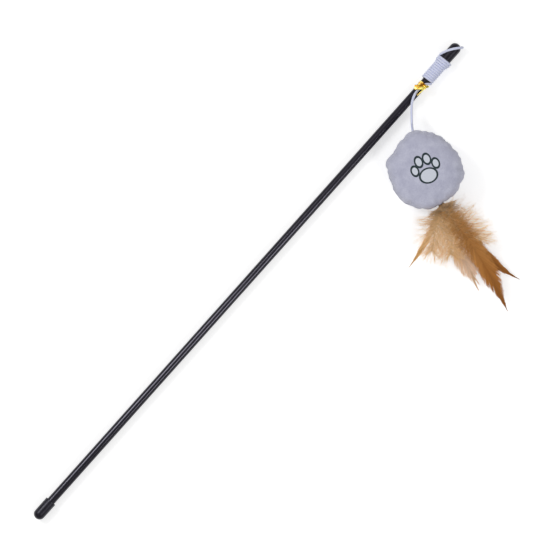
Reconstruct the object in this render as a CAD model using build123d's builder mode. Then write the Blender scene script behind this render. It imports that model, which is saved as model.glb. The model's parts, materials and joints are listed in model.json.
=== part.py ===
from build123d import *
import os
from math import atan, cos, degrees, pi, radians, sin, sqrt, tan

# A cat teaser wand as it lies on a table: the rod runs along X with its handle end at the origin,
# +Z is up, and the lure lies beside the rod's tip on the -Y side.
# Driving dimensions, in millimetres and degrees

# Rod: a plain plastic tube
rod_length = 433.0
rod_diameter = 6.0
rod_bore = 4.0

# Domed vinyl caps, pushed on both ends of the rod
cap_length = 15.9
cap_wall = 1.02
cap_fit = 0.03
knot_room = 3.4
cap_end_depth_share = 0.82
cap_end_radius_share = 0.48
cut_overrun = 1.0

# Elastic cord: free, and stretched thin where it is wound on the rod
cord_diameter = 1.7
wound_diameter = 1.3
cord_sides = 8
wound_sides = 4
cord_lay = 0.1
cord_hole_clearance = 0.2
cord_joint_gap = 0.3
winding_turns = 11.5
winding_pitch = 1.72
wound_past_lip = 2.0
lead_bend = 3.0
hole_bend = 1.4
hole_angle = 135.0
stop_knot_diameter = 3.8
stop_knot_height = 2.6
knot_sides = 12

# Twist tie: a foil strip round the rod and the cord
tie_width = 3.5
tie_thickness = 0.5
tie_fit = 0.1
twist_length = 2.4
twist_width = 2.2
twist_thickness = 1.2
twist_angle = 30.0
twist_lean = 35.0
twist_turn = 180.0
twist_steps = 4
flat_end_length = 9.2
flat_end_heading = 131.0
edge_end_length = 9.8
edge_end_heading = 174.0
edge_end_height = 2.6
end_clearance = 0.6

# Ball: two sewn fabric panels over a fibre filling
ball_diameter = 54.0
ball_thickness = 34.0
panel_thickness = 1.0
pleats = 12
filling_gap = 0.15
thread_width = 0.8
thread_height = 0.6
cord_stub = 2.0
end_knot_diameter = 4.4
end_knot_length = 4.0
end_knot_depth = 4.5
lure_heading = -119.5
feather_heading = -113.8

# Outline of one half of the ball, from the seam to the crown: (share of radius, share of height)
crown_shares = (
    (0.965, 0.0),
    (1.0, 0.17),
    (0.975, 0.38),
    (0.88, 0.63),
    (0.70, 0.83),
    (0.44, 0.955),
    (0.20, 1.0),
)

# Feathers: their quills are whipped together and fan out of the ball's seam
binding_diameter = 4.0
binding_height = 6.4
binding_sides = 16
binding_clearance = 0.3
binding_stand_off = 0.5
feather_length = 87.0
feather_width = 19.0
quill_diameter = 0.9
quill_gap = 0.06
vane_thickness = 0.3
level_height = 1.05
droop_depth = 12.5
droop_reach = 76.0
droop_power = 1.6
droop_steps = 6
shaft_taper_share = 0.6

# Width along the feather, of its shaft and of two kinds of vane: (share of length, share of width)
shaft_shares = ((0.0, 1.0), (0.3, 0.85), (0.6, 0.65), (0.96, 0.3))
hackle_shares = ((0.09, 0.05), (0.24, 0.42), (0.42, 1.0), (0.66, 0.86), (0.86, 0.44), (1.0, 0.07))
plume_shares = ((0.08, 0.05), (0.18, 0.5), (0.36, 1.0), (0.62, 0.95), (0.84, 0.6), (1.0, 0.16))

# Each feather: share of length, share of width, heading at the root, turn along it, level, vane outline
feather_shares = {
    "main_hackle": (0.97, 0.72, 262.0, -16.0, 2.5, hackle_shares),
    "second_hackle": (0.85, 0.68, 265.0, -20.0, -1.5, hackle_shares),
    "pale_hackle": (0.7, 0.79, 241.0, 8.0, -2.5, hackle_shares),
    "right_hackle": (0.84, 0.45, 264.0, 8.0, -0.5, hackle_shares),
    "left_wisp": (0.54, 0.32, 203.0, -18.0, -0.5, hackle_shares),
    "left_plume": (0.44, 0.9, 206.0, 8.0, 2.5, plume_shares),
    "middle_plume": (0.47, 1.0, 230.0, 4.0, 1.5, plume_shares),
    "right_plume": (0.5, 0.95, 273.0, -4.0, 0.5, plume_shares),
}

# Route of the free cord from the tie to the ball: along X and Y from the tie, and share of the rise
drop_route = (
    (0.0, 0.0, 0.0),
    (-4.6, -0.1, 0.0),
    (-9.2, -1.7, 0.07),
    (-13.6, -4.7, 0.26),
    (-18.9, -9.5, 0.62),
    (-25.3, -15.6, 1.0),
)
route_radius_share = 0.45

# Sizes and places worked out from the driving dimensions
rod_radius = rod_diameter / 2
cap_bore_radius = rod_radius + cap_fit
cap_radius = cap_bore_radius + cap_wall
cap_sleeve = cap_length - cap_radius
cap_end_depth = cap_end_depth_share * cap_bore_radius
cap_end_radius = cap_end_radius_share * cap_bore_radius
tip_base = rod_length + knot_room
tip_lip = tip_base - cap_sleeve
tip_centre = Vector(tip_base, 0, 0)

cord_radius = cord_diameter / 2
wound_radius = wound_diameter / 2
lay_on_rod = rod_radius + cord_lay + wound_radius
lay_on_cap = cap_radius + cord_lay + wound_radius
winding_end = tip_lip + wound_past_lip
winding_start = winding_end - winding_turns * winding_pitch
climb_end = tip_lip - wound_radius
climb_start = climb_end - winding_pitch

# The table lies under the lowest turns of the winding, which are those on the cap
table_height = -(lay_on_cap + wound_radius)

ball_radius = ball_diameter / 2
ball_half = ball_thickness / 2
seam_height = table_height + ball_half


def on_round(x, angle, radius):
    """Point on a round surface about the rod: angle 0 is the +Y side and 90 the top."""
    return Vector(x, radius * cos(radians(angle)), radius * sin(radians(angle)))


def way_round(angle, slope):
    """Direction of a cord on a round surface, climbing along the rod by the slope in degrees."""
    turn = cos(radians(slope))
    return Vector(sin(radians(slope)), -sin(radians(angle)) * turn, cos(radians(angle)) * turn)


def biarc(start, start_way, end, end_way):
    """Two arcs that leave start along start_way, meet smoothly and reach end along end_way."""
    span = end - start
    along = span.dot(start_way + end_way)
    turn = 1 - start_way.dot(end_way)
    reach = (sqrt(along**2 + 2 * turn * span.dot(span)) - along) / (2 * turn)
    first = start + start_way * reach
    last = end - end_way * reach
    middle = (first + last) / 2
    TangentArc(start, middle, tangent=start_way)
    TangentArc(middle, end, tangent=last - first)


# Rod
with BuildPart() as rod:
    with BuildSketch(Plane.YZ):
        Circle(rod_radius)
        Circle(rod_bore / 2, mode=Mode.SUBTRACT)
    extrude(amount=rod_length)


def cap_section(dome_plane):
    """Half section of a cap: its dome is centred on the plane's origin and its mouth lies along +x."""
    with BuildSketch(dome_plane) as section:
        with BuildLine():
            CenterArc((0, 0), cap_radius, 90, 90)
            Polyline(
                (0, cap_radius),
                (cap_sleeve, cap_radius),
                (cap_sleeve, cap_bore_radius),
                (0, cap_bore_radius),
                (-cap_end_depth, cap_end_radius),
                (-cap_end_depth, 0),
                (-cap_radius, 0),
            )
        make_face()
    return section.sketch


with BuildPart() as handle_cap:
    revolve(cap_section(Plane.XY), axis=Axis.X)

# Tip cap: the same cap turned round, with a hole in the dome that the cord comes out of.
# The taut cord follows a helix down the cap, and a great circle over its dome to the hole.
helix_slope = degrees(atan(winding_pitch / (2 * pi * lay_on_rod)))
cap_helix_slope = degrees(atan(winding_pitch / (2 * pi * lay_on_cap)))
quarter_on_cap = lay_on_cap * pi / 2
lead_slope = degrees(atan((tip_base - winding_end) / quarter_on_cap))
over_dome = way_round(90, lead_slope)
upward = Vector(0, 0, 1)


def on_dome(angle):
    """Direction from the dome's centre, by the angle from the top along the cord's great circle."""
    return upward * cos(radians(angle)) + over_dome * sin(radians(angle))


hole_way = on_dome(hole_angle)
hole_radius = (wound_diameter + cord_hole_clearance) / 2
tip_hole_plane = Plane(origin=tip_centre, z_dir=hole_way)

with BuildPart() as tip_cap:
    revolve(cap_section(Plane(origin=tip_centre, x_dir=(-1, 0, 0), z_dir=(0, 0, 1))), axis=Axis.X)
    with BuildSketch(tip_hole_plane):
        Circle(hole_radius)
    extrude(amount=cap_radius + cut_overrun, mode=Mode.SUBTRACT)

# Stop knot: it sits in the cap's dome with its flat top towards the hole
with BuildPart() as cord_stop_knot:
    with BuildSketch(tip_hole_plane):
        RegularPolygon(stop_knot_diameter / 2, knot_sides)
    extrude(amount=stop_knot_height / 2, both=True)

# Winding: from under the tie round the rod, up on to the cap, over its dome and into the hole
tail_bend = lay_on_rod * (pi / 2) / (1 - sin(radians(helix_slope)))
tail_start = winding_start - tail_bend * cos(radians(helix_slope))
tail_end = tail_start - wound_diameter
first_angle = -180
last_angle = first_angle + 360 * winding_turns


def climb(x):
    """Distance of the wound cord's line from the rod's axis: it climbs on to the cap in one turn."""
    share = min(max((x - climb_start) / (climb_end - climb_start), 0), 1)
    return lay_on_rod + (lay_on_cap - lay_on_rod) * share**2 * (3 - 2 * share)


def wound_point(angle):
    """Point of the wound cord's line."""
    x = winding_start + winding_pitch * (angle - first_angle) / 360
    return on_round(x, angle, climb(x))


stations = [(on_round(tail_end, 90, lay_on_rod), Vector(1, 0, 0))]
for slope in (90, 60, 30):
    angle = 90 + degrees(tail_bend / lay_on_rod * (1 - sin(radians(slope))))
    x = tail_start + tail_bend * cos(radians(slope))
    stations.append((on_round(x, angle, lay_on_rod), way_round(angle, slope)))

corner = lead_bend * tan(radians(lead_slope - cap_helix_slope) / 2)
corner_before = degrees(corner * cos(radians(cap_helix_slope)) / lay_on_cap)
corner_after = degrees(corner * cos(radians(lead_slope)) / lay_on_cap)
quarters = round(4 * winding_turns)
wound_angles = last_angle - corner_before - first_angle
for quarter in range(quarters + 1):
    angle = first_angle + wound_angles * quarter / quarters
    step = wound_point(angle + 1) - wound_point(angle - 1)
    stations.append((wound_point(angle), step.normalized()))

top_angle = last_angle + 90
for angle in (last_angle + corner_after, (last_angle + corner_after + top_angle) / 2, top_angle):
    x = tip_base - (tip_base - winding_end) * (top_angle - angle) / 90
    stations.append((on_round(x, angle, lay_on_cap), way_round(angle, lead_slope)))

# The cord leaves the dome on a tangent, and a tight bend takes it back into the hole
bend_foot = cap_radius + cord_lay
bend_reach = sqrt(bend_foot**2 + hole_bend**2)
bend_angle = hole_angle - degrees(atan(hole_bend / bend_foot))
leave_spread = degrees(atan(sqrt(bend_reach**2 - (lay_on_cap - hole_bend) ** 2) / (lay_on_cap - hole_bend)))
leave_angle = bend_angle - leave_spread
bend_centre = tip_centre + on_dome(bend_angle) * bend_reach
leave_way = on_dome(leave_angle + 90)
stations.append((tip_centre + on_dome(leave_angle) * lay_on_cap, leave_way))
stations.append((bend_centre + on_dome(leave_angle) * hole_bend, leave_way))
middle_angle = (leave_angle + hole_angle + 90) / 2
stations.append((bend_centre + on_dome(middle_angle) * hole_bend, on_dome(middle_angle + 90)))
stations.append((tip_centre + hole_way * bend_foot, -hole_way))
stations.append((tip_centre + hole_way * (stop_knot_height / 2), -hole_way))

with BuildPart() as cord_winding:
    with BuildLine() as winding_line:
        for (start, start_way), (end, end_way) in zip(stations, stations[1:]):
            if (end - start).get_angle(start_way) + start_way.get_angle(end_way) < 0.01:
                Line(start, end)
            else:
                biarc(start, start_way, end, end_way)
    winding_path = winding_line.wire()
    with BuildSketch(Plane(origin=stations[0][0], z_dir=stations[0][1])):
        RegularPolygon(wound_radius, wound_sides)
    sweep(path=winding_path, clean=False)

# Free cord: straight runs joined by arcs, from the tie to the ball's seam
pivot = Vector(tail_end - cord_joint_gap, 0, rod_radius + cord_joint_gap + cord_radius)
rise = seam_height - pivot.Z
route = [pivot + Vector(x, y, share * rise) for x, y, share in drop_route]
anchor = route[-1]
last_way = (route[-1] - route[-2]).normalized()
route[-1] = anchor - last_way * (cord_radius + cord_joint_gap)
route_runs = [end - start for start, end in zip(route, route[1:])]
route_radii = []
for before, after in zip(route_runs, route_runs[1:]):
    shorter = min(before.length, after.length)
    route_radii.append(route_radius_share * shorter / tan(radians(before.get_angle(after)) / 2))

with BuildPart() as cord_drop:
    with BuildLine() as drop_line:
        FilletPolyline(*route, radius=route_radii)
    drop_path = drop_line.wire()
    with BuildSketch(Plane(origin=drop_path @ 0, z_dir=drop_path % 0)):
        RegularPolygon(cord_radius, cord_sides)
    sweep(path=drop_path)

# Twist tie: a band round the rod and the cord's tail, a twist, and two ends bent over the rod
band_start = tail_start
band_middle = band_start + tie_width / 2
tail_turn = degrees(tie_width**2 / (2 * tail_bend * lay_on_rod))
tail_places = [on_round(0, angle, lay_on_rod) for angle in (90, 90 + tail_turn)]


def band_section(margin):
    """Outline of a belt round the rod and the tail of the cord, at a distance from both."""
    with BuildSketch(Plane.YZ.offset(band_start)) as belt:
        Circle(rod_radius + margin)
        with Locations(*[(place.Y, place.Z) for place in tail_places]):
            Circle(wound_radius + margin)
        make_hull()
    return belt.sketch


twist_way = Vector(sin(radians(twist_lean)), 0, 0) + on_round(0, 90 + twist_angle, cos(radians(twist_lean)))
twist_foot = on_round(band_middle, 90 + twist_angle, lay_on_rod + wound_radius + tie_fit)
twist_side = twist_way.cross(upward).normalized()
twist_rise = twist_side.cross(twist_way)
twist_top = twist_foot + twist_way * twist_length
end_height = lay_on_rod + wound_radius + tie_fit + tie_thickness + end_clearance


def level_way(heading):
    """Level direction, by its angle from +X."""
    return Vector(cos(radians(heading)), sin(radians(heading)), 0)


def twist_corners(step):
    """Corners of one section of the twist, which turns as it rises."""
    foot = twist_foot + twist_way * (twist_length * step / twist_steps)
    turn = radians(twist_turn * step / twist_steps)
    wide = (twist_side * cos(turn) + twist_rise * sin(turn)) * (twist_width / 2)
    thin = (twist_rise * cos(turn) - twist_side * sin(turn)) * (twist_thickness / 2)
    return [foot + wide + thin, foot + wide - thin, foot - wide + thin, foot - wide - thin]


with BuildPart() as twist_tie:
    extrude(band_section(tie_fit + tie_thickness), amount=tie_width)
    extrude(band_section(tie_fit), amount=tie_width, mode=Mode.SUBTRACT)
    for step in range(twist_steps):
        ConvexPolyhedron(twist_corners(step) + twist_corners(step + 1))
    flat_start = Vector(twist_top.X, twist_top.Y, end_height)
    flat_way = level_way(flat_end_heading)
    with BuildSketch(Plane(origin=flat_start, x_dir=upward.cross(flat_way), z_dir=flat_way)):
        Rectangle(tie_width, tie_thickness)
    extrude(amount=flat_end_length)
    edge_way = level_way(edge_end_heading)
    with BuildSketch(Plane(origin=twist_top, x_dir=upward, z_dir=edge_way)):
        Rectangle(edge_end_height, tie_thickness)
    extrude(amount=edge_end_length)

# Ball
ball_way = level_way(lure_heading)
ball_centre = anchor + ball_way * (cord_stub + ball_radius)
cord_axis_plane = Plane(origin=anchor, z_dir=ball_way)
feather_root = ball_centre + level_way(feather_heading) * (ball_radius + binding_stand_off)
rim_gap = thread_height / 2
valley_share = cos(pi / pleats) / cos(pi / (2 * pleats))


def crown_points(reach_share, inset, sides, turn, side, first_height):
    """Corners of the rings from the seam to the crown of one half of the ball."""
    points = []
    for radius_share, height_share in crown_shares:
        radius = radius_share * reach_share * ball_radius - inset
        height = max(height_share * ball_half - inset, first_height)
        for corner in range(sides):
            angle = turn + 2 * pi * corner / sides
            points.append(ball_centre + Vector(radius * cos(angle), radius * sin(angle), side * height))
    return points


def cut_for_cord():
    """Way through the seam for the cord's stub."""
    with BuildSketch(cord_axis_plane) as way:
        Circle(cord_radius + cord_hole_clearance / 2)
    extrude(way.sketch, amount=cord_stub + end_knot_depth, mode=Mode.SUBTRACT)


def cut_for_feathers():
    """Round notch in the seam, in which the feathers' binding can turn."""
    notch_height = binding_height / 2 + binding_clearance
    with BuildSketch(Plane(origin=feather_root)) as notch:
        Circle(binding_diameter / 2 + binding_clearance)
    extrude(notch.sketch, amount=notch_height, both=True, mode=Mode.SUBTRACT)


def ball_panel(side):
    """Fabric panel of one half of the ball: 1 is the upper and -1 the lower one.

    Two crowned hulls, turned against each other by half a pleat, leave the valleys of the gathers.
    """
    with BuildPart() as panel:
        ConvexPolyhedron(crown_points(1, 0, pleats, 0, side, rim_gap))
        ConvexPolyhedron(crown_points(1, 0, pleats, pi / pleats, side, rim_gap))
        hollow = crown_points(valley_share, panel_thickness, 2 * pleats, 0, side, 0)
        ConvexPolyhedron(hollow, mode=Mode.SUBTRACT)
        cut_for_cord()
        cut_for_feathers()
    return panel


ball_front_panel = ball_panel(1)
ball_back_panel = ball_panel(-1)

with BuildPart() as ball_stuffing:
    for side in (-1, 1):
        ConvexPolyhedron(crown_points(valley_share, panel_thickness + filling_gap, pleats, 0, side, 0))
    cut_for_cord()
    with BuildSketch(cord_axis_plane.offset(cord_stub + end_knot_depth - filling_gap)):
        Circle(end_knot_diameter / 2 + filling_gap)
    extrude(amount=end_knot_length + 2 * filling_gap, mode=Mode.SUBTRACT)

# Seam thread: a line of stitches between the panels' rims, open at the cord and at the feathers
seam_radius = crown_shares[0][0] * valley_share * ball_radius
with BuildPart() as seam_thread:
    with BuildSketch(Plane(origin=ball_centre)):
        RegularPolygon(seam_radius, 2 * pleats)
        RegularPolygon(seam_radius - thread_width, 2 * pleats, mode=Mode.SUBTRACT)
    extrude(amount=rim_gap, both=True)
    cut_for_cord()
    cut_for_feathers()

# Cord's end: a rounded stub outside the seam, and its knot inside the filling
stub_end = cord_stub + end_knot_depth
with BuildPart() as cord_end_knot:
    with BuildSketch(cord_axis_plane):
        Circle(cord_radius)
    extrude(amount=stub_end)
    with Locations(anchor):
        Sphere(cord_radius)
    with BuildSketch(cord_axis_plane.offset(stub_end)):
        RegularPolygon(end_knot_diameter / 2, knot_sides)
    extrude(amount=end_knot_length)

# Feathers
with BuildPart() as feather_binding:
    with BuildSketch(Plane(origin=feather_root)):
        RegularPolygon(binding_diameter / 2, binding_sides)
    extrude(amount=binding_height / 2, both=True)

quill_start = binding_diameter / 2 + quill_gap
longest = feather_length + cut_overrun


def fall(distance):
    """Drop of every feather below its level, by the distance along it."""
    return droop_depth * (distance / droop_reach) ** droop_power


def feather_outline(length, width, heading, turn, width_shares):
    """Outline from above of a feather's vane or shaft, which turns its heading along its length."""
    left = []
    right = []
    for share, width_share in width_shares:
        place = feather_root + level_way(heading + turn * share / 2) * (quill_start + length * share)
        aside = level_way(heading + turn * share).cross(upward) * (width * width_share / 2)
        left.append((place.X - aside.X, place.Y - aside.Y))
        right.append((place.X + aside.X, place.Y + aside.Y))
    with BuildSketch(Plane(origin=(0, 0, feather_root.Z))) as outline:
        Polygon(*left, *reversed(right), align=None)
    return outline.sketch


def drooping_plate(heading, level, thickness, taper_share, width, outline):
    """Thin plate that droops along its heading, cut to an outline seen from above."""
    way = level_way(heading)
    upper = []
    lower = []
    for step in range(droop_steps + 1):
        distance = longest * step / droop_steps
        half = thickness / 2 * (1 - taper_share * step / droop_steps)
        upper.append((quill_start + distance, half - fall(distance)))
        lower.append((quill_start + distance, -half - fall(distance)))
    level_root = feather_root + upward * (level * level_height)
    with BuildSketch(Plane(origin=level_root, x_dir=way, z_dir=way.cross(upward))) as strip:
        Polygon(*upper, *reversed(lower), align=None)
    with BuildPart() as plate:
        extrude(strip.sketch, amount=width, both=True)
        extrude(outline, amount=fall(longest) + binding_height, both=True, mode=Mode.INTERSECT)
    return plate.part


feather_parts = {}
for name, (length_share, width_share, heading, turn, level, vane_shares) in feather_shares.items():
    length = feather_length * length_share
    width = feather_width * width_share
    chord_heading = heading + turn / 2
    vane_outline = feather_outline(length, width, heading, turn, vane_shares)
    shaft_outline = feather_outline(length, quill_diameter, heading, turn, shaft_shares)
    vane = drooping_plate(chord_heading, level, vane_thickness, 0, width, vane_outline)
    shaft = drooping_plate(chord_heading, level, quill_diameter, shaft_taper_share, width, shaft_outline)
    with BuildPart() as feather:
        add(vane)
        add(shaft)
    feather_parts[name] = feather

# Every piece by its name
pieces = {
    "rod": rod,
    "handle_cap": handle_cap,
    "tip_cap": tip_cap,
    "cord_stop_knot": cord_stop_knot,
    "cord_winding": cord_winding,
    "cord_drop": cord_drop,
    "cord_end_knot": cord_end_knot,
    "twist_tie": twist_tie,
    "ball_front_panel": ball_front_panel,
    "ball_back_panel": ball_back_panel,
    "ball_stuffing": ball_stuffing,
    "seam_thread": seam_thread,
    "feather_binding": feather_binding,
    **feather_parts,
}

os.makedirs("parts", exist_ok=True)
for name, piece in pieces.items():
    piece.part.label = name
    export_step(piece.part, f"parts/{name}.step")

# The cord's measures
samples = [winding_path.position_at(step / 1500) for step in range(1501)]
apart = round(2 * wound_diameter / winding_path.length * 1500)
least = min((a - b).length for i, a in enumerate(samples) for b in samples[i + apart :])
winding_section = wound_sides / 2 * wound_radius**2 * sin(2 * pi / wound_sides)
drop_section = cord_sides / 2 * cord_radius**2 * sin(2 * pi / cord_sides)
print("winding: least gap to itself", round(least - wound_diameter, 3))
print("winding: length", round(winding_path.length, 1))
print("winding: volume", round(cord_winding.part.volume, 2))
print("winding: section times length", round(winding_section * winding_path.length, 2))
print("free cord: radii", [round(radius, 1) for radius in route_radii], "length", round(drop_path.length, 1))
print("free cord: volume", round(cord_drop.part.volume, 2))
print("free cord: section times length", round(drop_section * drop_path.length, 2))
print("table", round(table_height, 3), "pivot", pivot, "anchor", anchor)
print("ball centre", ball_centre, "feather root", feather_root)
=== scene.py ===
import json
import math
import random

import bpy
from mathutils import Matrix, Vector, noise


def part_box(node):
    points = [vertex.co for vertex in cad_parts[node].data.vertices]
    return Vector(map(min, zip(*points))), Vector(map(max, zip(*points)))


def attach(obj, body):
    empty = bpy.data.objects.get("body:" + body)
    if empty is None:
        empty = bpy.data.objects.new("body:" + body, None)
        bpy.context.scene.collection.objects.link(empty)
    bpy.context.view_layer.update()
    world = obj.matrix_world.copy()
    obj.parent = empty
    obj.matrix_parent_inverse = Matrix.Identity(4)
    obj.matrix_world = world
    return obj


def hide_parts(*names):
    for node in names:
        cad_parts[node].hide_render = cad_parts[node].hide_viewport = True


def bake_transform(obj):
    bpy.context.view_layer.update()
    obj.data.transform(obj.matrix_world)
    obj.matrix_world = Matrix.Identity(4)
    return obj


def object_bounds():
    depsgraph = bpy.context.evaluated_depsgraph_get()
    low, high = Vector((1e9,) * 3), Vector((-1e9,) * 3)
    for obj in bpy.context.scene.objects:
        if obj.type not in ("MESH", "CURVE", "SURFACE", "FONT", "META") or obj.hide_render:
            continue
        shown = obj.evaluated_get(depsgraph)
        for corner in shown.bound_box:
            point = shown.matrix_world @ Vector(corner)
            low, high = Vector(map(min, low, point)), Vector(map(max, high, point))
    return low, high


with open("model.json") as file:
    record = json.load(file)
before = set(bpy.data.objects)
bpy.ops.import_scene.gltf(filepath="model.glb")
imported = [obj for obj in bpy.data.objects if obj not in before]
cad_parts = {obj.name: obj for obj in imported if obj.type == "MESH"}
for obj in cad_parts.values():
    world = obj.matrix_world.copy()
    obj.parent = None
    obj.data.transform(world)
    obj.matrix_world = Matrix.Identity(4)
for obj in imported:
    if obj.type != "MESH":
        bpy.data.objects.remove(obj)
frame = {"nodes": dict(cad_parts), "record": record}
cad_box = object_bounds()

# Sizes are in metres, written in millimetres times MM, and angles are in degrees
MM = 0.001
UP = Vector((0, 0, 1))

# Places that the frame gives
joints = {joint["name"]: joint for joint in frame["record"]["behaviour"]["joints"]}
pivot = Vector(joints["cord_lift"]["pos_m"])
anchor = Vector(joints["lure_swing"]["pos_m"])
feather_root = Vector(joints["feather_sway"]["pos_m"])
sway = max(abs(angle) for angle in joints["feather_sway"]["range_deg"])
tip_low, tip_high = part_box("tip_cap")
ball_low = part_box("ball_back_panel")[0]
ball_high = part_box("ball_front_panel")[1]

rod_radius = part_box("rod")[1].z
cap_radius = tip_high.z
tip_base = tip_high.x - cap_radius
tip_lip = tip_low.x
ball_centre = (ball_low + ball_high) / 2
ball_radius = (ball_high.x - ball_low.x) / 2
ball_half = (ball_high.z - ball_low.z) / 2
ball_way = (ball_centre - anchor).normalized()

# Photograph: the camera looks straight down, and the rod rises to the right in its frame
photo_turn = 48.24
photo_centre = Vector((234.7 * MM, -6.6 * MM, 0))
photo_width = 378 * MM
camera_height = 4.0
camera_sensor = 36

# Elastic cord: one length from the hole in the tip cap to the ball
cord_diameter = 1.74 * MM
cord_sides = 12
cord_line_steps = 8
winding_turns = 11.5
winding_pitch = 1.72 * MM
wound_past_lip = 2.0 * MM
climb_turns = 2
points_per_turn = 16
stub_length = 5.0 * MM
stub_overlap = 3.5 * MM
knot_size = 0.42 * MM
knot_share = 0.55
knot_steps = 96
knot_sides = 8
# Its way out of the hole and over the dome: angles from the dome's top, and lifts off the dome
hole_angle = 135
hole_depth = 2.6 * MM
hole_bend = ((131.1, 0.23 * MM), (120.8, 0.83 * MM), (109.4, 0.78 * MM), (99.0, 0.5 * MM))
dome_angles = (80, 54, 27)
# Its slant down the cap, by shares of the slant, and its turn out of the winding, by slopes to the turns
lead_shares = (1.0, 0.8, 0.6, 0.4, 0.2)
tail_slopes = (17.7, 32, 48, 66, 85)
# Its free stretch from the tie: millimetres along X and Y, and the share of the rise to the ball
drop_route = (
    (0.0, 0.0, 0.0),
    (-4.6, -0.1, 0.0),
    (-9.2, -1.7, 0.07),
    (-13.6, -4.7, 0.26),
    (-18.9, -9.5, 0.62),
    (-25.3, -15.6, 1.0),
)

# Twist tie: a foil strip with a wire along its middle, drawn round the rod and the cord
tie_width = 3.5 * MM
tie_wire = 0.3 * MM
tie_foil = 0.06 * MM
tie_fit = 0.1 * MM
tie_start = 400.43 * MM
strip_shares = (-1, -0.62, -0.24, 0, 0.24, 0.62, 1)
crinkle_size = 1.6 * MM
crinkle_depth = 0.12 * MM
band_steps = 72
held_cord_angles = (90, 98, 106)
# Its twist, with the strip's share of width at the foot and at the top, and its two ends
twist_foot_angle = 120
twist_lean = 35
twist_length = 2.6 * MM
twist_turns = 1.5
twist_radius = 0.45 * MM
twist_foot_share = 0.5
twist_top_share = 0.6
end_steps = 24
end_settling = 3
end_widening = 4
flat_end_length = 9.2 * MM
flat_end_heading = 131
flat_end_curl = 1.4 * MM
flat_end_tilt = 0.16
flat_end_rise = 0.2
edge_end_length = 9.8 * MM
edge_end_heading = 174
edge_end_curl = 0.3 * MM
edge_end_tilt = 0.2

# Ball: how its outline leaves the round, by the angle in the photograph: (angle, spread, share of radius)
outline_shares = (
    (44, 26, -0.06),
    (110, 13, 0.075),
    (150, 12, -0.03),
    (170, 10, 0.05),
    (201, 10, -0.02),
    (240, 24, 0.03),
    (272, 20, 0.05),
    (322, 12, 0.02),
    (351, 8, 0.03),
)
ball_side_power = 0.8
ball_crown_power = 0.85
ball_steps_round = 180
ball_steps_up = 44
# Its pleats along the seam: a coarse and a fine noise, drawn deepest at one angle of the photograph
pleat_depth = 0.9 * MM
pleat_reach_share = 0.3
pleat_scale = 3.4
pleat_levels = {1: 10.0, -1: 4.0}
fine_pleat_scale = 2.3
fine_pleat_share = 0.6
pleat_angle = 10
pleat_least_share = 0.45
pleat_rise_share = 0.8
pleat_rise_rate = 6
# Its seam and the uneven swell of its filling
seam_depth_share = 0.05
seam_reach_share = 0.07
swell_depth = 0.6 * MM
swell_spread = 1.7
swell_scale = 1.3
swell_rate = 3
# Its cover as cloth: the model is scaled up, blown by its filling and held at the seam
cloth_scale = 20.0
cloth_grid = 1.5 * MM
cloth_seam = 1.0 * MM
cloth_travel = 1.8 * MM
cloth_frames = 22
cloth_swell = 1.8 * MM
cloth_mass = 0.05
cloth_pressure = 4.0
cloth_shrink = -0.07
cloth_bending = 0.6
cloth_levels = 2
seam_groove_depth = 1.1 * MM
seam_groove_width = 0.9 * MM
stitch_count = 44
stitch_gap = 4.0 * MM
stitch_height = 1.6 * MM
stitch_slant = 2.4
stitch_radius = 0.17 * MM
stitch_shares = (-1, -0.5, 0, 0.5, 1)
stitch_rise = 0.8
stitch_dip = 1.6
stitch_sides = 6

# Printed motif: a plain paw of one large and four small pads, in shares of its size: (across, up, width, height)
paw_size = 12.5 * MM
paw_turn = -photo_turn + 22
paw_line_share = 0.09
paw_far = 9.0
paw_shares = (
    (0.0, -0.38, 0.5, 0.4),
    (-0.62, 0.12, 0.2, 0.28),
    (-0.24, 0.52, 0.21, 0.3),
    (0.24, 0.52, 0.21, 0.3),
    (0.62, 0.12, 0.2, 0.28),
)

# Feathers: their sizes, and for each its shares of length and width, heading, turn, curl of the turn, level and kind
feather_length = 87 * MM
feather_width = 19 * MM
binding_radius = 2.0 * MM
binding_height = 6.4 * MM
level_height = 1.05 * MM
droop_depth = 12.5 * MM
droop_reach = 76 * MM
droop_power = 1.6
shaft_diameter = 0.8 * MM
shaft_steps = 28
shaft_along = 0.35
shaft_across = (0.0, 0.3)
shaft_tone = 0.95
shaft_clearance = 1.0 * MM
feather_shares = {
    "main_hackle": (0.97, 0.72, 262, -16, 1.0, 2.5, "hackle"),
    "second_hackle": (0.85, 0.68, 265, -20, 1.0, -1.5, "hackle"),
    "pale_hackle": (0.62, 0.79, 242, 8, 1.0, -2.5, "pale"),
    "right_hackle": (0.84, 0.42, 261.5, 14, 2.5, -0.5, "hackle"),
    "left_wisp": (0.54, 0.2, 203, -18, 1.0, -0.5, "wisp"),
    "left_plume": (0.44, 0.9, 206, 8, 1.0, 2.5, "plume"),
    "middle_plume": (0.47, 1.0, 230, 4, 1.0, 1.5, "plume"),
    "right_plume": (0.5, 0.95, 273, -4, 1.0, 0.5, "plume"),
}
# Width along each kind of feather: (share of length, share of width)
hackle_shares = ((0.06, 0.5), (0.2, 0.8), (0.45, 1.0), (0.68, 1.0), (0.82, 0.55), (0.91, 0.2), (1.0, 0.03))
pale_shares = ((0.06, 0.5), (0.2, 0.8), (0.45, 1.0), (0.72, 1.0), (0.86, 0.85), (0.95, 0.5), (1.0, 0.2))
plume_shares = ((0.0, 0.75), (0.2, 1.0), (0.6, 1.0), (0.85, 0.85), (1.0, 0.65))
vane_shares = {"hackle": hackle_shares, "wisp": hackle_shares, "pale": pale_shares, "plume": plume_shares}
down_share = 0.42
down_end = (0.5, 1.15)
plume_shaft_share = 0.8
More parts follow.
